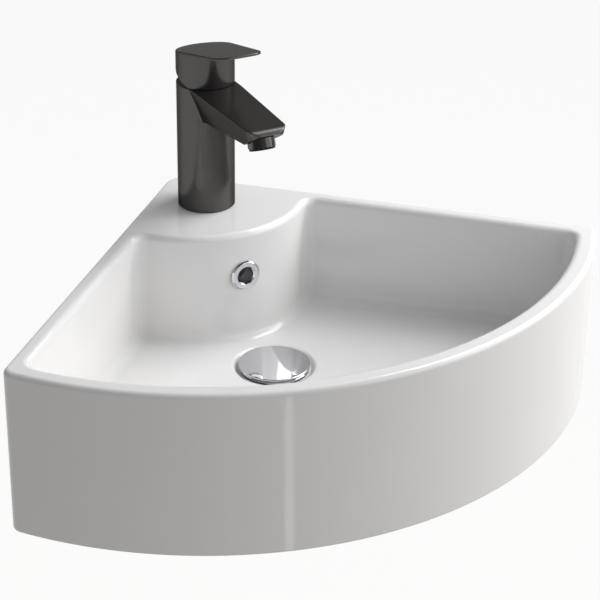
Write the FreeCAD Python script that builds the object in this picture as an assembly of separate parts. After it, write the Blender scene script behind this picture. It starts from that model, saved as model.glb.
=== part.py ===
import FreeCAD, Part
import math
import os
from FreeCAD import Vector

# A wall-hung corner basin with its single-lever tap and its push-to-close waste.
# Millimetres, +Z up. Z = 0 is the top of the rim. X = Y = 0 is the line where the two room
# walls meet, each wall at 45 degrees to Y, and the round front of the basin faces -Y.

# ---- Basin: one piece of glazed vitreous china, hollow underneath ----
wall_side = 400.0               # length of each straight side, along its room wall
basin_height = 145.0
front_radius = 345.0            # outer radius of the round front
back_corner_radius = 18.0
end_corner_radius = 11.0
rim_wall = 15.0                 # thickness of the two straight walls
front_wall = 18.0               # thickness of the round front
rim_outer_round = 4.5
rim_inner_round = 6.0
base_round = 2.5
bowl_corner_round = 12.0
bowl_floor_round = 10.0
floor_depth = 106.0             # bowl floor at the rim of the waste recess
floor_slope = 3.2               # degrees, falling to the waste
floor_thickness = 14.0
deck_radius = 106.0             # round front edge of the tap deck
deck_centre = 42.0              # from the room corner to the centre of that edge
deck_thickness = 17.0
deck_wall = 30.0                # double wall that holds the overflow channel
recess_width = 4.5              # soft dish round the waste flange
recess_round = 4.0
boss_radius = 40.0              # thick ring round the waste hole
boss_height = 29.0
duct_rib_width = 40.0           # thick rib that carries the overflow to the waste
bolt_hole_radius = 7.0
bolt_along_wall = 88.0          # from the room corner to each wall bolt
bolt_below_rim = 60.0

# ---- Overflow: a mouth in the deck wall, a channel down to the waste ----
overflow_below_rim = 41.5
overflow_hole_radius = 10.3
overflow_skin = 10.0            # china between the bowl and the channel
channel_depth = 12.0
channel_width = 28.0
duct_width = 24.0
duct_height = 14.0
duct_floor = 8.0                # china under the duct
overflow_ring_radius = 13.9
overflow_ring_thickness = 2.4
overflow_bore_radius = 7.6
overflow_sleeve_length = 13.0
overflow_sleeve_clearance = 0.3

# ---- Waste: turned brass, hung in the basin by its flange ----
waste_beyond_deck = 55.4        # from the front of the tap deck to the waste axis
waste_hole_radius = 23.0
flange_radius = 31.3
flange_thickness = 1.8
flange_seat_clearance = 1.4
thread_radius = 20.955          # outside of a G 1 1/4 thread
waste_bore_radius = 18.4
waste_tail_below_nut = 36.0
upper_gasket_thickness = 1.5
lower_gasket_thickness = 6.0
slip_washer_thickness = 1.5
back_nut_height = 9.5
back_nut_flats = 50.0
thread_clearance = 0.1
overflow_window_width = 14.0
overflow_window_height = 10.0
bridge_thickness = 3.0
bridge_arm_width = 4.5
bridge_depth = 41.0             # from the flange's top down to the bridge
housing_radius = 8.0
housing_bore_radius = 6.0
housing_height = 30.0
housing_floor = 2.0
housing_lip = 2.0
housing_stub_radius = 3.0
housing_stub_length = 6.0
plunger_radius = 4.0
plunger_fit = 0.06
piston_radius = 5.6
piston_height = 3.0
cap_travel = 7.0
piston_stop_gap = 2.0           # left above the piston when the cap is up
spring_wire = 1.1
spring_turns = 5.0
cap_radius = 31.9
cap_dome = 1.3
cap_edge = 1.7
cap_wall = 1.5
cap_gap = 0.8                   # cap's edge over the flange when the waste is shut
cap_seat_below_floor = 0.3      # flange's top below the floor's edge
cap_hub_radius = 6.5
cap_hub_length = 8.0
cap_screw_radius = 3.0
cap_seal_inner = 22.5
cap_seal_outer = 27.0
seal_gap = 0.3

# ---- Tap: cast brass body with a flat-topped spout ----
tap_setback = 72.7              # from the room corner to the tap axis
tap_hole_radius = 17.5
tap_height = 117.6
base_seal_thickness = 0.8
base_seal_inset = 0.9
spout_reach = 121.5
spout_root_inset = 2.2          # half-width at the axis, less than the body's radius
spout_side_taper = 0.0425       # loss of half-width for each mm ahead
spout_top_fall = 0.054
spout_rise = 1.3                # its slope meets the axis this far above the body
spout_depth_at_axis = 31.3
spout_depth_taper = 0.1315      # loss of depth for each mm ahead
spout_side_lean = 0.29          # the sides lean in towards the underside
spout_corner_round = 11.0
spout_front_radius = 95.0
spout_nose_length = 8.0
spout_nose_radius = 12.0
spout_chin_start = 101.0        # where the underside turns up to the front lip
spout_lip_thickness = 0.7
spout_edge_round = 0.8
spout_root_round = 4.0          # where the spout grows out of the round body
body_wall = 5.0
web_thickness = 24.0            # thick part under the cartridge that holds the ports
hose_port_radius = 4.5          # inside of an M10 x 1 thread
hose_port_depth = 12.0
port_spread = 6.5               # the two inlets, each side of the tap axis
port_ahead = 4.0
outlet_back = 3.5
waterway_radius = 2.5
passage_width = 4.6             # from the outlet to the front, between the inlets
passage_height = 6.0
passage_roof = 4.0              # brass left under the cartridge
cartridge_depth = 33.6
cartridge_bore_radius = 18.0
cartridge_thread_radius = 19.6
thread_wall = 6.4               # brass round the nut's thread
nut_seat_depth = 10.3
channel_wall = 1.5
riser_depth = 4.0
riser_width = 14.0
spout_channel_width = 20.0
spout_channel_height = 4.0
spout_channel_short = 5.0       # channel ends this far behind the aerator's axis

# ---- Tap fixing under the deck: one stud with a C-shaped gasket and plate ----
stud_radius = 4.0
stud_back = 12.0
stud_hole_clearance = 0.3
stud_below_deck = 45.0
clamp_radius = 25.0
clamp_rubber_thickness = 3.0
clamp_plate_thickness = 2.0
clamp_slot_radius = 13.2
clamp_slot_ahead = 8.2
stud_nut_height = 13.0
stud_nut_flats = 13.0

# ---- Aerator, screwed into the underside of the spout ----
aerator_ahead = 107.0
aerator_drop = 5.1              # its tip hangs this far under the spout
aerator_tilt = 20.0             # degrees, the stream leans away from the body
aerator_radius = 12.0
aerator_flat = 11.3
aerator_length = 8.2
aerator_thread_radius = 10.8
aerator_thread_length = 4.5
aerator_wall = 1.6
aerator_crown_radius = 11.2
aerator_crown_length = 2.0
aerator_teeth = 18
aerator_tooth_width = 1.4
aerator_seal_thickness = 1.2
aerator_seal_width = 2.4
aerator_pocket_clearance = 0.15

# ---- Cartridge: plastic housing, two ceramic discs, rotor and spindle ----
cartridge_radius = 17.4
cartridge_seal_thickness = 1.6
cartridge_seal_inner = 3.2
cartridge_seal_outer = 4.6
cartridge_base_height = 4.4
cartridge_wall = 2.8
cartridge_shoulder = 2.6
neck_radius = 12.5
neck_depth = 1.1                # neck ends this far below the body's top
neck_bore_radius = 9.6
cartridge_nut_height = 5.0
cartridge_nut_clearance = 0.1
nut_notch_width = 5.0
cover_ring_thickness = 4.2
cover_ring_clearance = 0.2
disc_thickness = 4.0
disc_lap = 0.1
disc_port_radius = 2.2
moving_disc_radius = 12.1
moving_disc_back = 2.1
mixing_chamber_radius = 5.0     # joins an inlet to the outlet once the disc moves forward
mixing_chamber_depth = 1.6
socket_radius = 5.5
socket_height = 3.8
ball_radius = 3.2
ball_fit = 0.15
ball_below_pivot = 10.0
ball_neck_radius = 2.1
pivot_depth = 6.6
pivot_pin_radius = 1.5
pivot_fit = 0.05
rotor_fit = 0.1
rotor_flange_radius = 14.2
rotor_flange_thickness = 2.2
rotor_flange_gap = 0.3
rotor_depth = 0.1
spindle_width = 7.6
spindle_depth = 8.0
spindle_height = 22.0           # above the body
spindle_below_pivot = 6.0
rotor_slot_clearance = 0.2

# ---- Lever handle: cast zinc, a round skirt under a flat plate that rises to the front ----
handle_overhang = 0.2           # skirt's radius over the body's
handle_gap = 0.7                # shadow gap over the body
handle_bevel = 25.0             # degrees, cut at the back that lets the lever lift
handle_bevel_ahead = 12.5
handle_height = 30.8            # top of the lever at the axis, above the body
plate_rise = 0.208
plate_thickness = 2.2
plate_reach = 71.0
plate_inset = 0.1               # half-width at the axis, less than the skirt's radius
plate_side_taper = 0.060
plate_corner_round = 12.0
plate_front_radius = 150.0
plate_edge_round = 0.9
handle_wall = 4.2
handle_roof = 5.0
handle_boss_radius = 8.6
handle_boss_height = 7.9        # underside of the boss, above the body
handle_socket_clearance = 0.15
grub_screw_radius = 2.5
grub_screw_length = 8.0
grub_screw_height = 16.4        # above the body
screw_clearance = 0.05
grub_key_flats = 2.5
grub_key_depth = 3.0
plug_radius = 3.2
plug_depth = 3.0

# ---- Places that follow from the sizes above ----
half_diagonal = wall_side / math.sqrt(2)
front_centre_y = math.sqrt(front_radius ** 2 - half_diagonal ** 2) - half_diagonal
tap_y = -tap_setback
waste_y = -deck_centre - deck_radius - waste_beyond_deck
floor_fall = math.tan(math.radians(floor_slope))
flange_top = -floor_depth - cap_seat_below_floor
flange_bottom = flange_top - flange_thickness
flange_seat = flange_bottom - upper_gasket_thickness
seat_radius = flange_radius + flange_seat_clearance
recess_radius = seat_radius + recess_width
boss_bottom = -floor_depth - boss_height
duct_bottom = boss_bottom + duct_floor
duct_top = duct_bottom + duct_height
lower_gasket_bottom = boss_bottom - lower_gasket_thickness
slip_washer_bottom = lower_gasket_bottom - slip_washer_thickness
back_nut_bottom = slip_washer_bottom - back_nut_height
waste_bottom = back_nut_bottom - waste_tail_below_nut
bridge_top = flange_top - bridge_depth
housing_top = bridge_top + housing_height
piston_top = housing_top - housing_lip - piston_stop_gap - cap_travel
cap_underside = flange_top + cap_gap
cap_edge_top = cap_underside + cap_edge
tap_radius = cartridge_thread_radius + thread_wall
cartridge_seat = tap_height - cartridge_depth
web_bottom = cartridge_seat - web_thickness
cartridge_nut_seat = tap_height - nut_seat_depth
neck_top = tap_height - neck_depth
rotor_top = tap_height - rotor_depth
pivot_z = tap_height - pivot_depth
spindle_top = tap_height + spindle_height
spindle_foot = pivot_z - spindle_below_pivot
handle_bottom = tap_height + handle_gap
handle_radius = tap_radius + handle_overhang
handle_boss_bottom = tap_height + handle_boss_height
plate_top_at_axis = tap_height + handle_height
plate_half_width = handle_radius - plate_inset
grub_screw_z = tap_height + grub_screw_height
spout_root_half_width = tap_radius - spout_root_inset
spout_top_at_axis = tap_height + spout_rise
spout_under_z = spout_top_at_axis - spout_depth_at_axis
spout_under_fall = spout_top_fall - spout_depth_taper
aerator_tip_z = spout_under_z - spout_under_fall * aerator_ahead - aerator_drop
base_plate_bottom = cartridge_seat + cartridge_seal_thickness
fixed_disc_bottom = base_plate_bottom + cartridge_base_height
moving_disc_bottom = fixed_disc_bottom + disc_thickness + disc_lap
moving_disc_top = moving_disc_bottom + disc_thickness
shoulder_bottom = cartridge_nut_seat - cartridge_shoulder
rotor_flange_top = shoulder_bottom - rotor_flange_gap
clamp_rubber_bottom = -deck_thickness - clamp_rubber_thickness
clamp_plate_bottom = clamp_rubber_bottom - clamp_plate_thickness
far = 700.0                     # reach of the tools that cut right across the basin


def rod(radius, z_low, z_high, x=0.0, y=0.0):
    """Upright cylinder."""
    return Part.makeCylinder(radius, z_high - z_low, Vector(x, y, z_low))


def ring(inner, outer, z_low, z_high, x=0.0, y=0.0):
    """Upright tube or washer."""
    hole = rod(inner, z_low - 1, z_high + 1, x, y)
    return rod(outer, z_low, z_high, x, y).cut(hole)


def block(x_low, x_high, y_low, y_high, z_low, z_high):
    """Box between two corners."""
    corner = Vector(x_low, y_low, z_low)
    return Part.makeBox(x_high - x_low, y_high - y_low, z_high - z_low, corner)


def turned(profile, y):
    """Solid of revolution about the upright axis at x = 0, from (radius, z) points."""
    points = [Vector(r, y, z) for r, z in profile]
    face = Part.Face(Part.makePolygon(points + points[:1]))
    return face.revolve(Vector(0, y, 0), Vector(0, 0, 1), 360)


def hexagon(flats, z_low, z_high, x, y):
    """Upright hexagonal prism, given across its flats."""
    corner = flats / math.sqrt(3)
    angles = [math.radians(60 * i) for i in range(7)]
    points = [Vector(x + corner * math.cos(a), y + corner * math.sin(a), z_low) for a in angles]
    return Part.Face(Part.makePolygon(points)).extrude(Vector(0, 0, z_high - z_low))


def ahead(distance):
    """Y of a point this far in front of the tap axis."""
    return tap_y - distance


def side_prism(outline, half_width):
    """Prism across the tap, from (distance ahead, z) points of its side view."""
    points = [Vector(-half_width, ahead(t), z) for t, z in outline]
    face = Part.Face(Part.makePolygon(points + points[:1]))
    return face.extrude(Vector(2 * half_width, 0, 0))


def leans_up(edge):
    """True for an edge that runs nearly straight up."""
    return abs(edge.tangentAt(edge.FirstParameter).z) > 0.9


def edge_middle(edge):
    return edge.valueAt((edge.FirstParameter + edge.LastParameter) / 2)


def on_slope(edge, height):
    """True for an edge that follows a surface given by its height this far ahead."""
    ends = [vertex.Point for vertex in edge.Vertexes] + [edge_middle(edge)]
    return all(abs(point.z - height(tap_y - point.y)) < 0.01 for point in ends)


def at_height(shape, z):
    """Edges that lie in one level plane."""
    box = [(edge, edge.BoundBox) for edge in shape.Edges]
    return [edge for edge, b in box if abs(b.ZMin - z) < 0.01 and abs(b.ZMax - z) < 0.01]


# ---- Basin ----
def sector(wall_gap, radius, z_low, z_high):
    """Plan of the basin: two straight sides at right angles and a round front."""
    apex_y = -wall_gap * math.sqrt(2)
    lead = apex_y - front_centre_y
    reach = (lead + math.sqrt(2 * radius ** 2 - lead ** 2)) / 2
    apex = Vector(0, apex_y, z_low)
    left = Vector(-reach, apex_y - reach, z_low)
    right = Vector(reach, apex_y - reach, z_low)
    front = Vector(0, front_centre_y - radius, z_low)
    sides = [Part.LineSegment(apex, left).toShape(), Part.Arc(left, front, right).toShape()]
    sides.append(Part.LineSegment(right, apex).toShape())
    return Part.Face(Part.Wire(sides)).extrude(Vector(0, 0, z_high - z_low))


def outer_block():
    """The basin's outside, with its corners, rim and foot rounded."""
    solid = sector(0.0, front_radius, -basin_height, 0.0)
    uprights = [edge for edge in solid.Edges if leans_up(edge)]
    back = [edge for edge in uprights if abs(edge_middle(edge).x) < 1]
    ends = [edge for edge in uprights if abs(edge_middle(edge).x) > 1]
    solid = solid.makeFillet(back_corner_radius, back)
    solid = solid.makeFillet(end_corner_radius, [e for e in solid.Edges if is_same_place(e, ends)])
    solid = solid.makeFillet(rim_outer_round, at_height(solid, 0.0))
    return solid.makeFillet(base_round, at_height(solid, -basin_height))


def is_same_place(edge, others):
    """True where an edge lies on one of the others."""
    return any(edge_middle(edge).distanceToPoint(edge_middle(o)) < 0.01 for o in others)


def floor_profile(drop, z_far):
    """Radial section of everything above the floor, or below it for a negative z_far."""
    rise = (far - recess_radius) * floor_fall
    level = -floor_depth - drop
    return [(0, level), (recess_radius, level), (far, level + rise), (far, z_far), (0, z_far)]


def bowl_space():
    """Air in the bowl: walls, sloping floor and the dish for the waste flange."""
    depth = floor_depth + 20
    top = 20.0
    space = sector(rim_wall, front_radius - front_wall, -depth, top)
    deck = rod(deck_radius, -depth, top, 0, -deck_centre)
    space = space.cut(deck).common(turned(floor_profile(0, top), waste_y))
    space = space.makeFillet(bowl_corner_round, [e for e in space.Edges if leans_up(e)])
    axis = Vector(0, waste_y, -floor_depth)
    floor_edges = [e for e in space.Edges if e.BoundBox.ZMax < -floor_depth / 2]
    floor_edges = [e for e in floor_edges if edge_middle(e).distanceToPoint(axis) > recess_radius + 1]
    space = space.makeFillet(bowl_floor_round, floor_edges)
    dish = [(0, flange_seat), (seat_radius, flange_seat), (recess_radius, -floor_depth)]
    dish.append((0, -floor_depth))
    space = space.fuse(turned(dish, waste_y)).removeSplitter()
    lip = [e for e in space.Edges if e.BoundBox.ZMax < -floor_depth + 0.01]
    lip = [e for e in lip if abs(e.BoundBox.XMax - recess_radius) < 0.01]
    return space.makeFillet(recess_round, lip)


def underside_hollow():
    """Open space under the floor and under the tap deck."""
    plan = sector(rim_wall, front_radius - front_wall, -basin_height - 10, -deck_thickness)
    below = turned(floor_profile(floor_thickness, -basin_height - 20), waste_y)
    pocket = rod(deck_radius - deck_wall, -basin_height - 10, -deck_thickness, 0, -deck_centre)
    boss = rod(boss_radius, boss_bottom, 0, 0, waste_y)
    half_rib = duct_rib_width / 2
    rib = block(-half_rib, half_rib, waste_y, -deck_centre - deck_radius + deck_wall, boss_bottom, 0)
    return plan.common(below.fuse(pocket)).cut(boss.fuse(rib))


def overflow_passages():
    """Mouth, channel down inside the deck wall, and duct to the waste hole."""
    face_y = -deck_centre - deck_radius
    channel_front = face_y + overflow_skin
    channel_back = channel_front + channel_depth
    mouth_z = -overflow_below_rim
    start = Vector(0, face_y - 10, mouth_z)
    mouth = Part.makeCylinder(overflow_hole_radius, overflow_skin + 15, start, Vector(0, 1, 0))
    channel_top = mouth_z + channel_width / 2
    half_channel = channel_width / 2
    channel = block(-half_channel, half_channel, channel_front, channel_back, duct_bottom, channel_top)
    half_duct = duct_width / 2
    duct = block(-half_duct, half_duct, waste_y, channel_back, duct_bottom, duct_top)
    return mouth.fuse(channel).fuse(duct)


def wall_bolt_holes():
    """One hole through each straight wall, square to it, inside the pocket under the deck."""
    holes = []
    for side in (-1, 1):
        outward = Vector(side * math.sqrt(0.5), math.sqrt(0.5), 0)
        along = Vector(side * math.sqrt(0.5), -math.sqrt(0.5), 0)
        start = along * bolt_along_wall - outward * (rim_wall + 5) - Vector(0, 0, bolt_below_rim)
        holes.append(Part.makeCylinder(bolt_hole_radius, rim_wall + 10, start, outward))
    return holes[0].fuse(holes[1])


def basin():
    space = bowl_space()
    solid = outer_block().cut(space)
    inner_rim = at_height(solid, 0.0)
    inner_rim = [e for e in inner_rim if space.distToShape(Part.Vertex(edge_middle(e)))[0] < 0.01]
    solid = solid.makeFillet(rim_inner_round, inner_rim)
    solid = solid.cut(underside_hollow())
    solid = solid.cut(rod(tap_hole_radius, -deck_thickness - 5, 5, 0, tap_y))
    solid = solid.cut(rod(waste_hole_radius, boss_bottom - 5, flange_seat + 5, 0, waste_y))
    return solid.cut(overflow_passages()).cut(wall_bolt_holes())


def overflow_ring():
    """Push-in trim ring in the overflow's mouth."""
    wall_y = -deck_centre - deck_radius
    bead = overflow_ring_thickness / 2
    outer = overflow_ring_radius
    sleeve = overflow_hole_radius - overflow_sleeve_clearance
    profile = [(overflow_bore_radius, -overflow_sleeve_length), (sleeve, -overflow_sleeve_length)]
    profile += [(sleeve, 0), (outer, 0), (outer, bead), (outer - bead, 2 * bead)]
    profile += [(overflow_bore_radius + bead, 2 * bead), (overflow_bore_radius, bead)]
    body = turned(profile, 0)
    rims = [e for e in body.Edges if e.BoundBox.ZMin > bead - 0.01 and e.BoundBox.ZLength < 0.01]
    rims = [e for e in rims if e.BoundBox.ZMin > 2 * bead - 0.01]
    body = body.makeFillet(bead * 0.9, rims)
    body.rotate(Vector(0, 0, 0), Vector(1, 0, 0), 90)
    body.translate(Vector(0, wall_y, -overflow_below_rim))
    return body


# ---- Waste ----
def waste_body():
    """Flange, threaded tube with overflow windows, and the bridge for the push mechanism."""
    profile = [(waste_bore_radius, waste_bottom), (thread_radius, waste_bottom)]
    profile += [(thread_radius, flange_bottom), (flange_radius, flange_bottom)]
    profile += [(flange_radius, flange_top - flange_thickness / 3)]
    profile += [(flange_radius - flange_thickness / 3, flange_top)]
    profile += [(waste_bore_radius + flange_thickness, flange_top)]
    profile += [(waste_bore_radius, flange_top - flange_thickness)]
    solid = turned(profile, waste_y)
    middle = (duct_bottom + duct_top) / 2
    low = middle - overflow_window_height / 2
    high = middle + overflow_window_height / 2
    half = overflow_window_width / 2
    for turn in range(2):
        window = block(-thread_radius - 1, thread_radius + 1, -half, half, low, high)
        window.rotate(Vector(0, 0, 0), Vector(0, 0, 1), 90 * turn)
        window.translate(Vector(0, waste_y, 0))
        solid = solid.cut(window)
    bridge_low = bridge_top - bridge_thickness
    arm = bridge_arm_width / 2
    reach = waste_bore_radius + 0.5
    bridge = block(-reach, reach, waste_y - arm, waste_y + arm, bridge_low, bridge_top)
    bridge = bridge.fuse(block(-arm, arm, waste_y - reach, waste_y + reach, bridge_low, bridge_top))
    bridge = bridge.fuse(rod(housing_radius, bridge_low, bridge_top, 0, waste_y))
    bridge = bridge.cut(rod(housing_stub_radius, bridge_low - 1, bridge_top + 1, 0, waste_y))
    return solid.fuse(bridge)


def upper_gasket():
    return ring(waste_hole_radius + 0.5, flange_radius - 0.5, flange_seat, flange_bottom, 0, waste_y)


def lower_gasket():
    """Tapered rubber ring that closes the waste hole from below."""
    inner = thread_radius + thread_clearance
    profile = [(inner, lower_gasket_bottom), (boss_radius - 9, lower_gasket_bottom)]
    profile += [(boss_radius - 6, boss_bottom), (inner, boss_bottom)]
    return turned(profile, waste_y)


def slip_washer():
    inner = thread_radius + thread_clearance
    return ring(inner, boss_radius - 9, slip_washer_bottom, lower_gasket_bottom, 0, waste_y)


def back_nut():
    nut = hexagon(back_nut_flats, back_nut_bottom, slip_washer_bottom, 0, waste_y)
    hole = rod(thread_radius + thread_clearance, back_nut_bottom - 1, slip_washer_bottom + 1, 0, waste_y)
    return nut.cut(hole)


def push_housing():
    """Cup of the push mechanism, screwed into the bridge by the stub under it."""
    stub_end = bridge_top - housing_stub_length
    floor = bridge_top + housing_floor
    lip_hole = plunger_radius + plunger_fit
    profile = [(0, stub_end), (housing_stub_radius, stub_end), (housing_stub_radius, bridge_top)]
    profile += [(housing_radius, bridge_top), (housing_radius, housing_top), (lip_hole, housing_top)]
    profile += [(lip_hole, housing_top - housing_lip), (housing_bore_radius, housing_top - housing_lip)]
    profile += [(housing_bore_radius, floor), (0, floor)]
    return turned(profile, waste_y)


def push_spring():
    """Coil spring between the housing's floor and the piston, its ends left open."""
    low = bridge_top + housing_floor + spring_wire / 2
    high = piston_top - piston_height - spring_wire / 2
    coil_radius = housing_bore_radius - spring_wire
    pitch = (high - low) / spring_turns
    helix = Part.makeHelix(pitch, high - low, coil_radius)
    section = Part.Wire(Part.makeCircle(spring_wire / 2, Vector(coil_radius, 0, 0), Vector(0, 1, 0)))
    spring = Part.Wire(helix.Edges).makePipeShell([section], True, True)
    spring.translate(Vector(0, waste_y, low))
    return spring


def plunger():
    """Stem of the cap: screw, shank and piston."""
    screw_top = cap_underside + cap_edge - cap_wall
    shank_top = screw_top - cap_hub_length
    profile = [(0, piston_top - piston_height), (piston_radius, piston_top - piston_height)]
    profile += [(piston_radius, piston_top), (plunger_radius, piston_top), (plunger_radius, shank_top)]
    profile += [(cap_screw_radius, shank_top), (cap_screw_radius, screw_top), (0, screw_top)]
    return turned(profile, waste_y)


def waste_cap():
    """Shallow dome with a rounded edge and a threaded hub underneath."""
    dome_top = cap_edge_top + cap_dome
    ceiling = cap_edge_top - cap_wall
    hub_bottom = ceiling - cap_hub_length
    sphere_radius = (cap_radius ** 2 + cap_dome ** 2) / (2 * cap_dome)
    plate = rod(cap_radius, cap_underside, dome_top + 1, 0, waste_y)
    ball = Part.makeSphere(sphere_radius, Vector(0, waste_y, dome_top - sphere_radius))
    plate = plate.common(ball)
    edges = [e for e in plate.Edges if e.BoundBox.ZLength < 0.01 and e.BoundBox.XLength > cap_radius]
    plate = plate.makeFillet(cap_edge * 0.4, edges)
    plate = plate.cut(rod(cap_radius - cap_wall, cap_underside - 1, ceiling, 0, waste_y))
    hub = ring(cap_screw_radius, cap_hub_radius, hub_bottom, ceiling, 0, waste_y)
    return plate.fuse(hub)


def cap_seal():
    ceiling = cap_edge_top - cap_wall
    return ring(cap_seal_inner, cap_seal_outer, flange_top + seal_gap, ceiling, 0, waste_y)


# ---- Tap body ----
def spout_top(t):
    return spout_top_at_axis - spout_top_fall * t


def spout_underside(t):
    return spout_under_z - spout_under_fall * t


def spout_section(t, margin):
    """Tapered cross-section of the spout, taller than the spout by the margin."""
    high = spout_top(t) + margin
    low = spout_underside(t) - margin
    wide = spout_root_half_width - spout_side_taper * t + margin * spout_side_lean
    narrow = wide - (high - low) * spout_side_lean
    corners = [(-wide, high), (wide, high), (narrow, low), (-narrow, low), (-wide, high)]
    return Part.makePolygon([Vector(x, ahead(t), z) for x, z in corners])


def spout():
    """Flat-topped spout with a rounded nose, before it joins the round body."""
    root = 4.0
    beyond = spout_reach + 10
    solid = Part.makeLoft([spout_section(root, 1), spout_section(beyond, 1)], True, True)
    front = Vector(0, ahead(spout_reach - spout_front_radius), 0)
    solid = solid.common(Part.makeCylinder(spout_front_radius, 200, front))
    half_way = ahead(spout_reach / 2)
    corners = [e for e in solid.Edges if leans_up(e) and edge_middle(e).y < half_way]
    solid = solid.makeFillet(spout_corner_round, corners)
    nose_start = spout_reach - spout_nose_length
    nose_drop = spout_nose_radius - math.sqrt(spout_nose_radius ** 2 - spout_nose_length ** 2)
    half = spout_nose_length / 2
    half_drop = spout_nose_radius - math.sqrt(spout_nose_radius ** 2 - half ** 2)
    nose_end_z = spout_top(spout_reach) - nose_drop
    level_end = spout_rise / spout_top_fall
    points = [(root, tap_height), (level_end, tap_height), (nose_start, spout_top(nose_start))]
    points += [(nose_start + half, spout_top(nose_start + half) - half_drop)]
    points += [(spout_reach, nose_end_z), (spout_reach, nose_end_z - spout_lip_thickness)]
    points += [(spout_chin_start, spout_underside(spout_chin_start)), (root, spout_underside(root))]
    limit = spout_root_half_width + 10
    outline = [Vector(-limit, ahead(t), z) for t, z in points]
    straight = list(zip(outline, outline[1:] + outline[:1]))
    sides = [Part.LineSegment(start, end).toShape() for start, end in straight[:2]]
    sides.append(Part.Arc(outline[2], outline[3], outline[4]).toShape())
    sides += [Part.LineSegment(start, end).toShape() for start, end in straight[4:]]
    side_view = Part.Face(Part.Wire(sides)).extrude(Vector(2 * limit, 0, 0))
    return solid.common(side_view)


def tap_waterways():
    """Cartridge bore, hose ports, waterways to the aerator, and the hollow base."""
    tools = [rod(tap_radius - body_wall, -1, web_bottom, 0, tap_y)]
    tools.append(rod(cartridge_bore_radius, cartridge_seat, tap_height + 5, 0, tap_y))
    tools.append(rod(cartridge_thread_radius, cartridge_nut_seat, tap_height + 5, 0, tap_y))
    for side in (-1, 1):
        port_y = ahead(port_ahead)
        port_top = web_bottom + hose_port_depth
        tools.append(rod(hose_port_radius, web_bottom - 1, port_top, side * port_spread, port_y))
        tools.append(rod(waterway_radius, port_top - 1, cartridge_seat + 1, side * port_spread, port_y))
    tools.append(rod(stud_radius, web_bottom - 1, web_bottom + hose_port_depth, 0, ahead(-stud_back)))
    riser_in = cartridge_bore_radius + channel_wall
    riser_out = riser_in + riser_depth
    passage_top = cartridge_seat - passage_roof
    passage_low = passage_top - passage_height
    outlet_y = ahead(-outlet_back)
    tools.append(rod(waterway_radius, passage_low, cartridge_seat + 1, 0, outlet_y))
    half = passage_width / 2
    tools.append(block(-half, half, ahead(riser_out), outlet_y, passage_low, passage_top))
    half = riser_width / 2
    channel_top = cartridge_nut_seat - 0.3
    tools.append(block(-half, half, ahead(riser_out), ahead(riser_in), passage_low, channel_top))
    wide = spout_channel_width / 2
    channel_low = channel_top - spout_channel_height
    channel_end = aerator_ahead - spout_channel_short
    tools.append(block(-wide, wide, ahead(channel_end), ahead(riser_out - 1), channel_low, channel_top))
    space = tools[0]
    for tool in tools[1:]:
        space = space.fuse(tool)
    return space


def along_stream(radius, start, end):
    """Cylinder on the aerator's axis, from start to end measured up from its tip."""
    up = stream_up()
    tip = Vector(0, ahead(aerator_ahead), aerator_tip_z)
    return Part.makeCylinder(radius, end - start, tip + up * start, up)


def stream_up():
    lean = math.radians(aerator_tilt)
    return Vector(0, math.sin(lean), math.cos(lean))


def on_column(edge):
    """True for an edge that runs on the outside of the round body."""
    axis = Vector(0, tap_y, 0)
    middle = edge_middle(edge)
    places = [vertex.Point for vertex in edge.Vertexes] + [middle]
    return all(abs(Vector(p.x, p.y, 0).distanceToPoint(axis) - tap_radius) < 0.01 for p in places)


def tap_body():
    base = base_seal_thickness
    column = rod(tap_radius, base, tap_height, 0, tap_y)
    solid = column.fuse(spout()).removeSplitter()
    root = [e for e in solid.Edges if on_column(e) and base + 1 < e.BoundBox.ZMin < tap_height - 1.5]
    solid = solid.makeFillet(spout_root_round, root)
    flank = [e for e in solid.Edges if on_slope(e, spout_top) and e.BoundBox.YLength > spout_reach / 2]
    solid = solid.makeFillet(spout_edge_round, flank)
    solid = solid.cut(tap_waterways())
    body_end = aerator_crown_length + aerator_length
    pocket_radius = aerator_thread_radius + aerator_pocket_clearance
    pocket_end = body_end + aerator_thread_length + aerator_seal_thickness
    pocket = along_stream(pocket_radius, body_end - 4, pocket_end)
    shoulder = along_stream(aerator_radius + 0.4, body_end - 8, body_end)
    return solid.cut(pocket).cut(shoulder)


def tap_base_seal():
    return ring(tap_hole_radius + 2, tap_radius - base_seal_inset, 0, base_seal_thickness, 0, tap_y)


def clamp_shape(z_low, z_high):
    """C-shaped plate: a disc with a hole for the stud and a slot that lets the hoses by."""
    plate = rod(clamp_radius, z_low, z_high, 0, tap_y)
    slot_y = ahead(clamp_slot_ahead)
    slot = rod(clamp_slot_radius, z_low - 1, z_high + 1, 0, slot_y)
    half = clamp_slot_radius
    mouth = block(-half, half, slot_y - clamp_radius, slot_y, z_low - 1, z_high + 1)
    hole = rod(stud_radius + stud_hole_clearance, z_low - 1, z_high + 1, 0, ahead(-stud_back))
    return plate.cut(slot.fuse(mouth)).cut(hole)


def clamp_rubber():
    return clamp_shape(clamp_rubber_bottom, -deck_thickness)


def clamp_plate():
    return clamp_shape(clamp_plate_bottom, clamp_rubber_bottom)


def tap_stud():
    bottom = -deck_thickness - stud_below_deck
    return rod(stud_radius, bottom, web_bottom + hose_port_depth - 1, 0, ahead(-stud_back))


def stud_nut():
    low = clamp_plate_bottom - stud_nut_height
    nut = hexagon(stud_nut_flats, low, clamp_plate_bottom, 0, ahead(-stud_back))
    hole = rod(stud_radius + thread_clearance, low - 1, clamp_plate_bottom + 1, 0, ahead(-stud_back))
    return nut.cut(hole)


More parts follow.
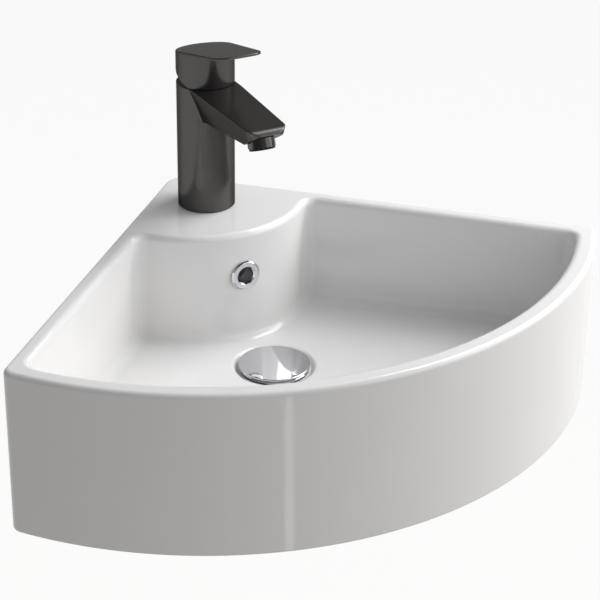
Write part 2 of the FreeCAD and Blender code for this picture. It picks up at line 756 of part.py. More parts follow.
# ---- Aerator ----
def aerator_housing():
    """Threaded sleeve with two flats for a spanner."""
    low = aerator_crown_length
    high = low + aerator_length
    solid = along_stream(aerator_radius, low, high)
    solid = solid.fuse(along_stream(aerator_thread_radius, high, high + aerator_thread_length))
    for side in (-1, 1):
        near = aerator_flat if side > 0 else -aerator_flat - 5
        flat = block(near, near + 5, -20, 20, low - 1, high + 0.5)
        flat.rotate(Vector(0, 0, 0), Vector(1, 0, 0), -aerator_tilt)
        flat.translate(Vector(0, ahead(aerator_ahead), aerator_tip_z))
        solid = solid.cut(flat)
    solid = solid.cut(along_stream(aerator_radius - aerator_wall, low - 1, high - 1))
    end = high + aerator_thread_length + 1
    return solid.cut(along_stream(aerator_thread_radius - aerator_wall, high - 2, end))


def aerator_insert():
    """Flow straightener: toothed crown below, a plug with fine holes above."""
    body_radius = aerator_radius - aerator_wall - 0.1
    crown = along_stream(aerator_crown_radius, 0, aerator_crown_length)
    body_end = aerator_crown_length + aerator_length - 2
    solid = crown.fuse(along_stream(body_radius, aerator_crown_length, body_end))
    tip = Vector(0, ahead(aerator_ahead), aerator_tip_z)
    for tooth in range(aerator_teeth):
        angle = 360.0 * tooth / aerator_teeth
        notch = block(aerator_crown_radius - 1.0, aerator_crown_radius + 1, -aerator_tooth_width / 2,
                      aerator_tooth_width / 2, -1, aerator_crown_length)
        notch.rotate(Vector(0, 0, 0), Vector(0, 0, 1), angle)
        notch.rotate(Vector(0, 0, 0), Vector(1, 0, 0), -aerator_tilt)
        notch.translate(tip)
        solid = solid.cut(notch)
    hollow = along_stream(aerator_crown_radius - 2.2, -1, aerator_crown_length + 1)
    return solid.cut(hollow)


def aerator_seal():
    start = aerator_crown_length + aerator_length + aerator_thread_length
    end = start + aerator_seal_thickness
    outer = along_stream(aerator_thread_radius, start, end)
    return outer.cut(along_stream(aerator_thread_radius - aerator_seal_width, start - 1, end + 1))


# ---- Cartridge ----
def port_places():
    """The two inlets and the outlet, as (x, y)."""
    inlet_y = ahead(port_ahead)
    return [(-port_spread, inlet_y), (port_spread, inlet_y), (0, ahead(-outlet_back))]


def cartridge_seals():
    rings = []
    for x, y in port_places():
        rings.append(ring(cartridge_seal_inner, cartridge_seal_outer, cartridge_seat, base_plate_bottom, x, y))
    return Part.makeCompound(rings)


def cartridge_base():
    solid = rod(cartridge_radius, base_plate_bottom, fixed_disc_bottom, 0, tap_y)
    for x, y in port_places():
        solid = solid.cut(rod(waterway_radius, base_plate_bottom - 1, fixed_disc_bottom + 1, x, y))
    return solid


def cartridge_housing():
    """Plastic shell that holds the discs and the rotor."""
    inner = cartridge_radius - cartridge_wall
    profile = [(inner, fixed_disc_bottom), (cartridge_radius, fixed_disc_bottom)]
    profile += [(cartridge_radius, cartridge_nut_seat), (neck_radius, cartridge_nut_seat)]
    profile += [(neck_radius, neck_top), (neck_bore_radius, neck_top), (neck_bore_radius, shoulder_bottom)]
    profile += [(inner, shoulder_bottom)]
    return turned(profile, tap_y)


def fixed_disc():
    radius = cartridge_radius - cartridge_wall - 0.1
    solid = rod(radius, fixed_disc_bottom, fixed_disc_bottom + disc_thickness, 0, tap_y)
    for x, y in port_places():
        hole = rod(disc_port_radius, fixed_disc_bottom - 1, fixed_disc_bottom + disc_thickness + 1, x, y)
        solid = solid.cut(hole)
    return solid


def moving_disc():
    """Upper disc: a mixing chamber cut into its underside and a socket for the spindle's ball."""
    centre = ahead(-moving_disc_back)
    solid = rod(moving_disc_radius, moving_disc_bottom, moving_disc_top, 0, centre)
    solid = solid.fuse(rod(socket_radius, moving_disc_top, moving_disc_top + socket_height, 0, tap_y))
    solid = solid.cut(rod(ball_radius + ball_fit, moving_disc_top - 1.2, moving_disc_top + 10, 0, tap_y))
    chamber_top = moving_disc_bottom + mixing_chamber_depth
    chamber = rod(mixing_chamber_radius, moving_disc_bottom - 1, chamber_top, 0, centre)
    return solid.cut(chamber)


def rotor():
    """Turns in the neck with the lever, and carries the pivot pin between two cheeks."""
    flange_low = rotor_flange_top - rotor_flange_thickness
    solid = rod(neck_bore_radius - rotor_fit, rotor_flange_top, rotor_top, 0, tap_y)
    solid = solid.fuse(rod(rotor_flange_radius, flange_low, rotor_flange_top, 0, tap_y))
    half = spindle_width / 2 + rotor_slot_clearance
    length = neck_bore_radius + 0.1
    slot = block(-half, half, tap_y - length, tap_y + length, flange_low - 1, rotor_top + 1)
    pin = Part.makeCylinder(pivot_pin_radius, 40, Vector(-20, tap_y, pivot_z), Vector(1, 0, 0))
    return solid.cut(slot).cut(pin)


def pivot_pin():
    half = neck_bore_radius - 0.3
    return Part.makeCylinder(pivot_pin_radius, 2 * half, Vector(-half, tap_y, pivot_z), Vector(1, 0, 0))


def spindle():
    """Square lever spindle on its pin, with the ball that drives the moving disc."""
    half = spindle_width / 2
    depth = spindle_depth / 2
    solid = block(-half, half, tap_y - depth, tap_y + depth, spindle_foot, spindle_top)
    ball_z = pivot_z - ball_below_pivot
    solid = solid.fuse(rod(ball_neck_radius, ball_z, spindle_foot + 1, 0, tap_y))
    solid = solid.fuse(Part.makeSphere(ball_radius, Vector(0, tap_y, ball_z)))
    hole = Part.makeCylinder(pivot_pin_radius + pivot_fit, 20, Vector(-10, tap_y, pivot_z), Vector(1, 0, 0))
    return solid.cut(hole)


def cartridge_nut():
    """Threaded brass ring with four notches, screwed down on the cartridge's shoulder."""
    top = cartridge_nut_seat + cartridge_nut_height
    outer = cartridge_thread_radius - cartridge_nut_clearance
    solid = ring(neck_radius + 0.3, outer, cartridge_nut_seat, top, 0, tap_y)
    half = nut_notch_width / 2
    for turn in range(2):
        notch = block(-outer - 1, outer + 1, -half, half, top - 2, top + 1)
        notch.rotate(Vector(0, 0, 0), Vector(0, 0, 1), 45 + 90 * turn)
        notch.translate(Vector(0, tap_y, 0))
        solid = solid.cut(notch)
    return solid


def cover_ring():
    """Plastic ring that hides the cartridge nut under the lever."""
    low = cartridge_nut_seat + cartridge_nut_height
    inner = neck_radius + cover_ring_clearance
    outer = cartridge_thread_radius - cover_ring_clearance
    return ring(inner, outer, low, low + cover_ring_thickness, 0, tap_y)


# ---- Lever handle ----
def plate_top(t):
    return plate_top_at_axis + plate_rise * t


def handle_side_view(top_drop):
    """Side view of the skirt: bevelled at the back, cut level below and parallel to the plate above."""
    back = handle_radius + 4
    rise = (back + handle_bevel_ahead) * math.tan(math.radians(handle_bevel))
    outline = [(-back, handle_bottom + rise), (handle_bevel_ahead, handle_bottom), (back, handle_bottom)]
    return outline + [(back, plate_top(back) - top_drop), (-back, plate_top(-back) - top_drop)]


def lever_plate():
    """Flat plate: round over the skirt, tapering to a broad front edge with round corners."""
    low = plate_top_at_axis - 30
    high = plate_top_at_axis + 40
    width = plate_half_width
    tip = plate_half_width - plate_side_taper * plate_reach
    sag = plate_front_radius - math.sqrt(plate_front_radius ** 2 - tip ** 2)
    corner_t = plate_reach - sag
    left = Vector(-width, ahead(0), low)
    right = Vector(width, ahead(0), low)
    front_left = Vector(-tip, ahead(corner_t), low)
    front_right = Vector(tip, ahead(corner_t), low)
    sides = [Part.Arc(right, Vector(0, ahead(-width), low), left).toShape()]
    sides.append(Part.LineSegment(left, front_left).toShape())
    sides.append(Part.Arc(front_left, Vector(0, ahead(plate_reach), low), front_right).toShape())
    sides.append(Part.LineSegment(front_right, right).toShape())
    solid = Part.Face(Part.Wire(sides)).extrude(Vector(0, 0, high - low))
    half_way = ahead(plate_reach / 2)
    corners = [e for e in solid.Edges if leans_up(e) and edge_middle(e).y < half_way]
    solid = solid.makeFillet(plate_corner_round, corners)
    back, front = -handle_radius - 5, plate_reach + 5
    band = [(back, plate_top(back) - plate_thickness), (front, plate_top(front) - plate_thickness)]
    band += [(front, plate_top(front)), (back, plate_top(back))]
    solid = solid.common(side_prism(band, handle_radius + 10))
    return solid.makeFillet(plate_edge_round, [e for e in solid.Edges if on_slope(e, plate_top)])


def handle():
    skirt = rod(handle_radius, handle_bottom - 5, plate_top_at_axis + 20, 0, tap_y)
    skirt = skirt.common(side_prism(handle_side_view(plate_thickness / 2), handle_radius + 10))
    hollow = rod(handle_radius - handle_wall, handle_bottom - 5, plate_top_at_axis + 20, 0, tap_y)
    inside = side_prism(cavity_side_view(), handle_radius + 10)
    solid = skirt.fuse(lever_plate()).cut(hollow.common(inside))
    boss = rod(handle_boss_radius, handle_boss_bottom, plate_top_at_axis, 0, tap_y)
    solid = solid.fuse(boss.common(side_prism(handle_side_view(handle_roof / 2), handle_radius + 10)))
    wide = spindle_width / 2 + handle_socket_clearance
    deep = spindle_depth / 2 + handle_socket_clearance
    socket_top = spindle_top + handle_socket_clearance
    solid = solid.cut(block(-wide, wide, tap_y - deep, tap_y + deep, handle_boss_bottom - 1, socket_top))
    solid = solid.cut(forward_rod(grub_screw_radius + screw_clearance, 0, handle_radius + 5))
    return solid.cut(forward_rod(plug_radius, handle_radius - plug_depth, handle_radius + 1))


def forward_rod(radius, start, end):
    """Level cylinder at the grub screw's height, between two distances in front of the tap axis."""
    return Part.makeCylinder(radius, end - start, Vector(0, ahead(start), grub_screw_z), Vector(0, -1, 0))


def cavity_side_view():
    """Side view of the hollow inside the skirt."""
    back = handle_radius + 4
    outline = [(-back, handle_bottom - 3), (back, handle_bottom - 3)]
    return outline + [(back, plate_top(back) - handle_roof), (-back, plate_top(-back) - handle_roof)]


def grub_screw():
    """Socket screw that clamps the handle to its spindle, put in from under the lever."""
    start = spindle_depth / 2
    end = start + grub_screw_length
    key = hexagon(grub_key_flats, 0, grub_key_depth + 1, 0, 0)
    key.rotate(Vector(0, 0, 0), Vector(1, 0, 0), 90)
    key.translate(Vector(0, ahead(end - grub_key_depth), grub_screw_z))
    return forward_rod(grub_screw_radius, start, end).cut(key)


def screw_plug():
    """Small cap over the screw's hole in the front of the skirt."""
    outer = rod(handle_radius, grub_screw_z - 10, grub_screw_z + 10, 0, tap_y)
    return forward_rod(plug_radius, handle_radius - plug_depth, handle_radius + 1).common(outer)


makers = [basin, overflow_ring,
          waste_body, upper_gasket, lower_gasket, slip_washer, back_nut, push_housing, push_spring,
          plunger, waste_cap, cap_seal,
          tap_body, tap_base_seal, clamp_rubber, clamp_plate, tap_stud, stud_nut,
          aerator_housing, aerator_insert, aerator_seal,
          cartridge_seals, cartridge_base, cartridge_housing, fixed_disc, moving_disc, rotor,
          pivot_pin, spindle, cartridge_nut, cover_ring,
          handle, grub_screw, screw_plug]

os.makedirs("parts", exist_ok=True)
for maker in makers:
    shape = maker()
    name = maker.__name__
    solids = len(shape.Solids)
    print(f"{name:20s} valid {shape.isValid()} solids {solids} volume {shape.Volume / 1000:.2f} cm3")
    shape.exportStep(f"parts/{name}.step")
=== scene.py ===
import math

import bpy
from mathutils import Matrix, Vector


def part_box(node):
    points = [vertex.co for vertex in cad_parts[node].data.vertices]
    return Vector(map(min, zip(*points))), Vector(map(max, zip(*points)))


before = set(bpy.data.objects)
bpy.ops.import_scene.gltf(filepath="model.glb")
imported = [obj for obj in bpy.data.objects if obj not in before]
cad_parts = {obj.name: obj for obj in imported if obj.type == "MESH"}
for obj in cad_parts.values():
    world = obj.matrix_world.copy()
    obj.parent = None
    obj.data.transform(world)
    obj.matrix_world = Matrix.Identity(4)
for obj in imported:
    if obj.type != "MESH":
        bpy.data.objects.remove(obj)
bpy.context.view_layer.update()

# ---- Camera ----
# Stands to the left of the round front and looks down into the bowl with a long lens.
view_azimuth = math.radians(-29.546)
view_elevation = math.radians(26.938)
view_roll = math.radians(0.78)
focal_pixels = 1932.5
picture_pixels = 600
sensor_width = 36.0
camera_place = (-0.7193, -1.5168, 0.7195)

towards_camera = Vector((math.sin(view_azimuth) * math.cos(view_elevation),
                         -math.cos(view_azimuth) * math.cos(view_elevation),
                         math.sin(view_elevation)))
level_right = (-towards_camera).cross(Vector((0, 0, 1))).normalized()
level_up = level_right.cross(-towards_camera)
camera_right = math.cos(view_roll) * level_right + math.sin(view_roll) * level_up
camera_up = -math.sin(view_roll) * level_right + math.cos(view_roll) * level_up
bpy.ops.object.camera_add(location=camera_place)
camera = bpy.context.object
camera.name = "camera"
camera.rotation_euler = Matrix((camera_right, camera_up, towards_camera)).transposed().to_euler()
camera.data.sensor_width = sensor_width
camera.data.lens = focal_pixels / picture_pixels * sensor_width
camera.data.clip_end = 20.0
bpy.context.scene.camera = camera


# ---- Room ----
# A plain pale floor far below the wall-hung basin, white to the camera and to mirrors, under
# an even pale studio sky, with soft lamps to the right and above.
def linear(hex_colour):
    """sRGB hex to the linear colour that shaders take."""
    channels = [int(hex_colour[i:i + 2], 16) / 255 for i in (1, 3, 5)]
    straight = [c / 12.92 if c <= 0.04045 else ((c + 0.055) / 1.055) ** 2.4 for c in channels]
    return (*straight, 1.0)


def add(tree, kind, links=None, inputs=None, **settings):
    """Adds a node, sets its properties and input values, and links its inputs."""
    node = tree.nodes.new(kind)
    for name, value in settings.items():
        setattr(node, name, value)
    for name, value in (inputs or {}).items():
        node.inputs[name].default_value = value
    for name, (source, output) in (links or {}).items():
        tree.links.new(source.outputs[output], node.inputs[name])
    return node


def new_material(name):
    """Empty node material and its tree."""
    material = bpy.data.materials.new(name)
    material.use_nodes = True
    material.node_tree.nodes.clear()
    return material, material.node_tree


def seen_by_camera_and_mirrors(tree):
    """One for camera, glossy and transmission rays, and nought for the light that falls on things."""
    path = add(tree, "ShaderNodeLightPath")
    direct = add(tree, "ShaderNodeMath", {0: (path, "Is Camera Ray"), 1: (path, "Is Transmission Ray")},
                 operation="MAXIMUM")
    return add(tree, "ShaderNodeMath", {0: (direct, 0), 1: (path, "Is Glossy Ray")}, operation="MAXIMUM")


floor_level = -0.84
floor_size = 14.0
white_share = 0.93
bpy.ops.object.select_all(action="DESELECT")
bpy.ops.mesh.primitive_plane_add(size=floor_size, location=(0, 0, floor_level))
floor = bpy.context.object
floor.name = "floor"
floor_paint, tree = new_material("pale_floor_paint")
paint = add(tree, "ShaderNodeBsdfPrincipled",
            inputs={"Base Color": linear("#DAD3CA"), "Roughness": 0.8})
white = add(tree, "ShaderNodeEmission", inputs={"Color": linear("#FFFFFF"), "Strength": 1.0})
# A little of what is seen stays lit paint, so that the floor keeps the basin's shadow.
seen = seen_by_camera_and_mirrors(tree)
share = add(tree, "ShaderNodeMath", {0: (seen, 0)}, {1: white_share}, operation="MULTIPLY")
mix = add(tree, "ShaderNodeMixShader", {0: (share, 0), 1: (paint, 0), 2: (white, 0)})
add(tree, "ShaderNodeOutputMaterial", {"Surface": (mix, 0)})
floor.data.materials.append(floor_paint)

studio = bpy.data.worlds.new("studio")
bpy.context.scene.world = studio
studio.use_nodes = True
tree = studio.node_tree
tree.nodes.clear()
sky = add(tree, "ShaderNodeBackground", inputs={"Color": linear("#E4E6EA"), "Strength": 0.4})
# In mirrors the backdrop is a painted reflection. It is painted darker towards the top and towards the
# left side, and a bright disc overhead is painted in as a highlight that lights nothing.
direction = add(tree, "ShaderNodeTexCoord")
axes = add(tree, "ShaderNodeSeparateXYZ", {0: (direction, "Generated")})
painted_top_shade = add(tree, "ShaderNodeMapRange", {"Value": (axes, "Z")},
              {"From Min": 0.35, "From Max": 0.75, "To Min": 0.55, "To Max": 0.04},
              interpolation_type="SMOOTHSTEP")
painted_side_shade = add(tree, "ShaderNodeMapRange", {"Value": (axes, "X")},
           {"From Min": -0.9, "From Max": 0.3, "To Min": 0.4, "To Max": 1.0},
           interpolation_type="SMOOTHSTEP")
painted_shade = add(tree, "ShaderNodeMath", {0: (painted_top_shade, 0), 1: (painted_side_shade, 0)}, operation="MULTIPLY")
# The disc's soft edge lies 15 to 13 degrees off its middle, given here as cosines.
painted_disc_direction = (0.49, 0.31, 0.81)
painted_disc_outside = 0.966
painted_disc_inside = 0.974
painted_disc_strength = 1.6
near_painted_disc = add(tree, "ShaderNodeVectorMath", {0: (direction, "Generated")}, {1: painted_disc_direction},
                operation="DOT_PRODUCT")
painted_disc = add(tree, "ShaderNodeMapRange", {"Value": (near_painted_disc, "Value")},
           {"From Min": painted_disc_outside, "From Max": painted_disc_inside, "To Min": 0.0, "To Max": painted_disc_strength})
painted_shade_and_disc = add(tree, "ShaderNodeMath", {0: (painted_shade, 0), 1: (painted_disc, 0)}, operation="ADD")
# Painted reflection: glossy rays see this shaded backdrop with its painted disc, and other rays see the
# even sky.
painted_reflection = add(tree, "ShaderNodeBackground", {"Strength": (painted_shade_and_disc, 0)}, {"Color": linear("#FFFFFF")})
white = add(tree, "ShaderNodeBackground", inputs={"Color": linear("#FFFFFF"), "Strength": 1.0})
seen = seen_by_camera_and_mirrors(tree)
path = add(tree, "ShaderNodeLightPath")
backdrop = add(tree, "ShaderNodeMixShader",
               {0: (path, "Is Glossy Ray"), 1: (white, 0), 2: (painted_reflection, 0)})
mix = add(tree, "ShaderNodeMixShader", {0: (seen, 0), 1: (sky, 0), 2: (backdrop, 0)})
add(tree, "ShaderNodeOutputWorld", {"Surface": (mix, 0)})
bpy.context.scene.view_settings.view_transform = "Standard"


bowl_middle = Vector((0.0, -0.2, -0.05))


def softbox(name, place, width, height, power):
    """Rectangular soft light, sized in metres and powered in watts, aimed at the bowl."""
    bpy.ops.object.light_add(type="AREA", location=place)
    light = bpy.context.object
    light.name = name
    light.data.shape = "RECTANGLE"
    light.data.size = width
    light.data.size_y = height
    light.data.energy = power
    light.rotation_euler = (Vector(place) - bowl_middle).to_track_quat("Z", "Y").to_euler()


softbox("key_high_right", (1.338, -0.083, 1.294), 1.2, 1.2, 26.7)
softbox("fill_low_right", (1.561, -0.928, 0.753), 1.2, 1.2, 11.4)
softbox("fill_front", (0.861, -1.691, 0.753), 1.2, 1.2, 5.4)
# A narrow lamp low in front, which the glazed front mirrors as one upright streak.
softbox("streak", (-0.171, -1.173, -0.559), 0.04, 0.4, 0.09)

# ---- Basin ----
# Vitreous china, slip cast in one piece, sprayed with white glaze and fired. The glaze is a clear
# glassy skin with a slow ripple; the foot and the two faces against the walls are left unglazed.
china, tree = new_material("white_glazed_china")
place = add(tree, "ShaderNodeTexCoord")
spot = add(tree, "ShaderNodeSeparateXYZ", {0: (place, "Object")})
# Glaze depth drifts over a hand's width, which the eye sees as a faint change of white.
cloud = add(tree, "ShaderNodeTexNoise", {"Vector": (place, "Object")}, {"Scale": 9.0, "Detail": 2.0})
white = add(tree, "ShaderNodeMix", {0: (cloud, 0)}, {"A": linear("#EBEAE9"), "B": linear("#F0EFEE")},
            data_type="RGBA")
# Ripple about 18 mm from crest to crest, under a fine pinhole texture of about 1 mm.
ripple = add(tree, "ShaderNodeTexNoise", {"Vector": (place, "Object")}, {"Scale": 55.0, "Detail": 1.0})
pinholes = add(tree, "ShaderNodeTexNoise", {"Vector": (place, "Object")},
               {"Scale": 900.0, "Detail": 1.0})
slow = add(tree, "ShaderNodeBump", {"Height": (ripple, 0)}, {"Strength": 0.25, "Distance": 0.0004})
fine = add(tree, "ShaderNodeBump", {"Height": (pinholes, 0), "Normal": (slow, 0)},
           {"Strength": 0.06, "Distance": 0.0001})
worn = add(tree, "ShaderNodeMapRange", {"Value": (cloud, 0)}, {"To Min": 0.05, "To Max": 0.09})
glaze = add(tree, "ShaderNodeBsdfPrincipled",
            {"Base Color": (white, 2), "Normal": (fine, 0), "Roughness": (worn, 0)}, {"IOR": 1.52})
# Bare fired clay: cream, dry and slightly gritty, 0.4 mm grit.
grit = add(tree, "ShaderNodeTexNoise", {"Vector": (place, "Object")}, {"Scale": 2500.0, "Detail": 3.0})
clay_tint = add(tree, "ShaderNodeMix", {0: (grit, 0)}, {"A": linear("#D9D2C4"), "B": linear("#E9E4DA")},
                data_type="RGBA")
rough_clay = add(tree, "ShaderNodeBump", {"Height": (grit, 0)}, {"Strength": 0.5, "Distance": 0.0002})
bare_clay = add(tree, "ShaderNodeBsdfPrincipled",
                {"Base Color": (clay_tint, 2), "Normal": (rough_clay, 0)}, {"Roughness": 0.85})
# The two faces against the room's walls are bare below the rim, to an edge that wavers by a
# millimetre or so, and the foot is bare where it stands on the kiln shelf.
wall_depth = 0.0004
glaze_edge_height = -0.014
foot_band = 0.0015
off_axis = add(tree, "ShaderNodeMath", {0: (spot, "X")}, operation="ABSOLUTE")
from_wall = add(tree, "ShaderNodeMath", {0: (spot, "Y"), 1: (off_axis, 0)}, operation="ADD")
at_wall = add(tree, "ShaderNodeMath", {0: (from_wall, 0)}, {1: -wall_depth}, operation="GREATER_THAN")
waver = add(tree, "ShaderNodeMapRange", {"Value": (ripple, 0)}, {"To Min": -0.002, "To Max": 0.002})
wavy_height = add(tree, "ShaderNodeMath", {0: (spot, "Z"), 1: (waver, 0)}, operation="ADD")
under_rim = add(tree, "ShaderNodeMath", {0: (wavy_height, 0)}, {1: glaze_edge_height},
                operation="LESS_THAN")
wall_face = add(tree, "ShaderNodeMath", {0: (at_wall, 0), 1: (under_rim, 0)}, operation="MULTIPLY")
foot_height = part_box("basin")[0][2] + foot_band
foot = add(tree, "ShaderNodeMath", {0: (spot, "Z")}, {1: foot_height}, operation="LESS_THAN")
unglazed = add(tree, "ShaderNodeMath", {0: (wall_face, 0), 1: (foot, 0)}, operation="MAXIMUM")
surface = add(tree, "ShaderNodeMixShader", {0: (unglazed, 0), 1: (glaze, 0), 2: (bare_clay, 0)})
add(tree, "ShaderNodeOutputMaterial", {"Surface": (surface, 0)})


def finish_nodes(material, *names):
    """Gives CAD nodes one material."""
    for name in names:
        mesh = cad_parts[name].data
        mesh.materials.clear()
        mesh.materials.append(material)


finish_nodes(china, "basin")


# ---- Overflow ring and waste cap ----
# The ring is plated ABS pushed into the overflow's mouth; the cap is plated brass. Bright
# chromium mirrors its surroundings, with only hairline wiping marks.
def plated_skin(name, colour, low, high, streak):
    """Metal plate or coating, its polish drifting between two roughnesses over fine marks."""
    material, tree = new_material(name)
    place = add(tree, "ShaderNodeTexCoord")
    # Polish drifts about every 8 mm. Real wiping marks are hair fine and too small to show, so
    # they are drawn 0.45 mm apart.
    drift = add(tree, "ShaderNodeTexNoise", {"Vector": (place, "Object")},
                {"Scale": 120.0, "Detail": 3.0})
    marks = add(tree, "ShaderNodeTexNoise", {"Vector": (place, "Object")},
                {"Scale": 2200.0, "Detail": 2.0})
    polish = add(tree, "ShaderNodeMapRange", {"Value": (drift, 0)},
                 {"From Min": 0.3, "From Max": 0.7, "To Min": low, "To Max": high})
    relief = add(tree, "ShaderNodeBump", {"Height": (marks, 0)},
                 {"Strength": streak, "Distance": 0.00005}, name="relief")
    skin = add(tree, "ShaderNodeBsdfPrincipled", {"Roughness": (polish, 0), "Normal": (relief, 0)},
               {"Base Color": linear(colour), "Metallic": 1.0}, name="skin")
    add(tree, "ShaderNodeOutputMaterial", {"Surface": (skin, 0)})
    return material


chrome = plated_skin("bright_chromium_plate", "#DCDDE0", low=0.02, high=0.05, streak=0.03)
finish_nodes(chrome, "waste_cap", "overflow_ring")

# ---- Waste body and its fixings ----
# Turned brass tube under the flange, chrome plated, with an 11 threads per inch pipe thread on
# its tail. It is clamped to the basin by a brass nut on a rubber cone and a plastic slip washer.
crest_margin = 0.0003


def thread_relief(material, centre, pitch, crest_radius, depth):
    """Cuts a screw thread into a plated skin, wherever the surface is at the crest's radius."""
    tree = material.node_tree
    place = add(tree, "ShaderNodeTexCoord")
    centred = add(tree, "ShaderNodeMapping", {"Vector": (place, "Object")},
                  {"Location": (-centre[0], -centre[1], 0.0)})
    axes = add(tree, "ShaderNodeSeparateXYZ", {0: (centred, 0)})
    angle = add(tree, "ShaderNodeMath", {0: (axes, "Y"), 1: (axes, "X")}, operation="ARCTAN2")
    turn = add(tree, "ShaderNodeMath", {0: (angle, 0)}, {1: 2 * math.pi}, operation="DIVIDE")
    rise = add(tree, "ShaderNodeMath", {0: (axes, "Z")}, {1: pitch}, operation="DIVIDE")
    phase = add(tree, "ShaderNodeMath", {0: (rise, 0), 1: (turn, 0)}, operation="SUBTRACT")
    ridge = add(tree, "ShaderNodeMath", {0: (phase, 0)}, {1: 0.5}, operation="PINGPONG")
    level = add(tree, "ShaderNodeCombineXYZ", {0: (axes, "X"), 1: (axes, "Y")})
    radius = add(tree, "ShaderNodeVectorMath", {0: (level, 0)}, operation="LENGTH")
    at_crest = add(tree, "ShaderNodeMath", {0: (radius, "Value")}, {1: crest_radius, 2: crest_margin},
                   operation="COMPARE")
    cut = add(tree, "ShaderNodeMath", {0: (ridge, 0), 1: (at_crest, 0)}, operation="MULTIPLY")
    thread = add(tree, "ShaderNodeBump", {"Height": (cut, 0)}, {"Strength": 1.0, "Distance": 2 * depth})
    tree.links.new(thread.outputs[0], tree.nodes["relief"].inputs["Normal"])


waste_axis = (0.0, -0.2034)
plated_tail = plated_skin("chromium_plated_turned_brass", "#D8D9DC", low=0.06, high=0.12, streak=0.05)
thread_relief(plated_tail, waste_axis, pitch=0.002309, crest_radius=0.020955, depth=0.0015)
finish_nodes(plated_tail, "waste_body")

brass = plated_skin("turned_brass", "#C9A45C", low=0.22, high=0.38, streak=0.25)
finish_nodes(brass, "back_nut", "push_housing", "plunger", "stud_nut", "cartridge_nut", "spindle")


def moulded_skin(name, dark, light, low, high, grain, relief_depth):
    """Plastic or rubber from a mould, with a fine even grain in metres and a slow change of shade."""
    material, tree = new_material(name)
    place = add(tree, "ShaderNodeTexCoord")
    # The shade changes about every 17 mm.
    shade = add(tree, "ShaderNodeTexNoise", {"Vector": (place, "Object")},
                {"Scale": 60.0, "Detail": 3.0})
    grains = add(tree, "ShaderNodeTexNoise", {"Vector": (place, "Object")},
                 {"Scale": 1.0 / grain, "Detail": 1.0})
    tint = add(tree, "ShaderNodeMix", {0: (shade, 0)}, {"A": linear(dark), "B": linear(light)},
               data_type="RGBA")
    sheen = add(tree, "ShaderNodeMapRange", {"Value": (grains, 0)}, {"To Min": low, "To Max": high})
    relief = add(tree, "ShaderNodeBump", {"Height": (grains, 0)},
                 {"Strength": 0.5, "Distance": relief_depth})
    skin = add(tree, "ShaderNodeBsdfPrincipled",
               {"Base Color": (tint, 2), "Roughness": (sheen, 0), "Normal": (relief, 0)}, {"IOR": 1.5})
    add(tree, "ShaderNodeOutputMaterial", {"Surface": (skin, 0)})
    return material


rubber = moulded_skin("moulded_black_rubber", "#1B1B1B", "#262626",
                      low=0.62, high=0.8, grain=0.0006, relief_depth=0.00008)
finish_nodes(rubber, "upper_gasket", "lower_gasket", "cap_seal", "tap_base_seal", "clamp_rubber",
             "aerator_seal", "cartridge_seals")
natural_plastic = moulded_skin("moulded_natural_acetal", "#DEDCD3", "#E9E7DF",
                               low=0.32, high=0.45, grain=0.0005, relief_depth=0.00003)
finish_nodes(natural_plastic, "slip_washer", "cartridge_base", "cartridge_housing", "rotor")
spring_steel = plated_skin("drawn_spring_steel", "#B9BABC", low=0.18, high=0.3, streak=0.3)
finish_nodes(spring_steel, "push_spring", "pivot_pin")

# ---- Tap ----
# Cast brass body with its spout and a cast zinc lever, both with a satin graphite coating laid
# on in a vacuum chamber: a dark metal that spreads a lamp into a soft band. The plug in the
# lever's skirt is coated to match.
graphite = plated_skin("satin_graphite_coating", "#5A5857", low=0.18, high=0.21, streak=0.02)
coat = graphite.node_tree.nodes["skin"]
coat.inputs["Metallic"].default_value = 0.78
coat.inputs["Specular Tint"].default_value = linear("#7C7A78")
finish_nodes(graphite, "tap_body", "handle", "screw_plug")
bright_graphite = plated_skin("bright_graphite_coating", "#4A4948", low=0.08, high=0.12, streak=0.05)
finish_nodes(bright_graphite, "aerator_housing")
black_plastic = moulded_skin("moulded_black_abs", "#171717", "#202020",
                             low=0.3, high=0.42, grain=0.0004, relief_depth=0.00003)
finish_nodes(black_plastic, "cover_ring")
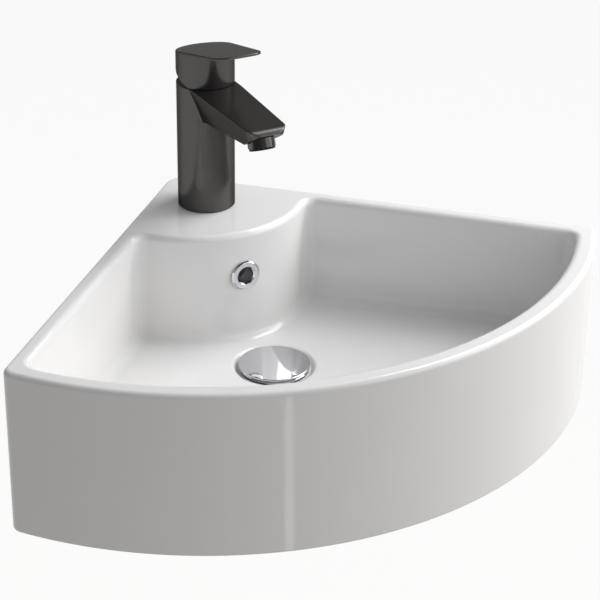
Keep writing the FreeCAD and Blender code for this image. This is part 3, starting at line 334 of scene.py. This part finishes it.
# The flow straightener is a moulded comb of cells about 1.3 mm across, open along the stream. Its open
# cells carry painted shade, near black, with the cell walls a lighter dark grey.
comb, tree = new_material("moulded_black_flow_comb")
place = add(tree, "ShaderNodeTexCoord")
cells = add(tree, "ShaderNodeTexVoronoi", {"Vector": (place, "Object")},
            {"Scale": 770.0, "Randomness": 0.15}, feature="DISTANCE_TO_EDGE")
hollow_and_painted_shade = add(tree, "ShaderNodeMapRange", {"Value": (cells, 0)}, {"From Min": 0.04, "From Max": 0.16})
# Painted shade: the cell hollows are painted near black and the walls between them dark grey. The same
# mask also sinks the hollows by bump.
shade = add(tree, "ShaderNodeMix", {0: (hollow_and_painted_shade, 0)}, {"A": linear("#2A2A2A"), "B": linear("#060606")},
            data_type="RGBA")
sunk = add(tree, "ShaderNodeMath", {0: (hollow_and_painted_shade, 0)}, {1: -1.0}, operation="MULTIPLY")
relief = add(tree, "ShaderNodeBump", {"Height": (sunk, 0)}, {"Strength": 1.0, "Distance": 0.0004})
skin = add(tree, "ShaderNodeBsdfPrincipled", {"Base Color": (shade, 2), "Normal": (relief, 0)},
           {"Roughness": 0.4})
add(tree, "ShaderNodeOutputMaterial", {"Surface": (skin, 0)})
finish_nodes(comb, "aerator_insert")

# ---- Tap fixing and cartridge ----
# One threaded brass stud draws a zinc plated C-shaped plate up against the deck. The cartridge's
# two lapped ceramic discs open the waterways, and its nut is turned brass.
zinc_plate = plated_skin("zinc_plated_steel", "#B7B6AE", low=0.25, high=0.42, streak=0.3)
finish_nodes(zinc_plate, "clamp_plate", "grub_screw")
stud_axis = (0.0, -0.0607)
stud_brass = plated_skin("threaded_brass_rod", "#C6A05A", low=0.22, high=0.34, streak=0.2)
thread_relief(stud_brass, stud_axis, pitch=0.00125, crest_radius=0.004, depth=0.0008)
finish_nodes(stud_brass, "tap_stud")
alumina = moulded_skin("lapped_alumina_ceramic", "#EFEBE0", "#F6F3EA",
                       low=0.12, high=0.2, grain=0.0003, relief_depth=0.00001)
finish_nodes(alumina, "fixed_disc", "moving_disc")
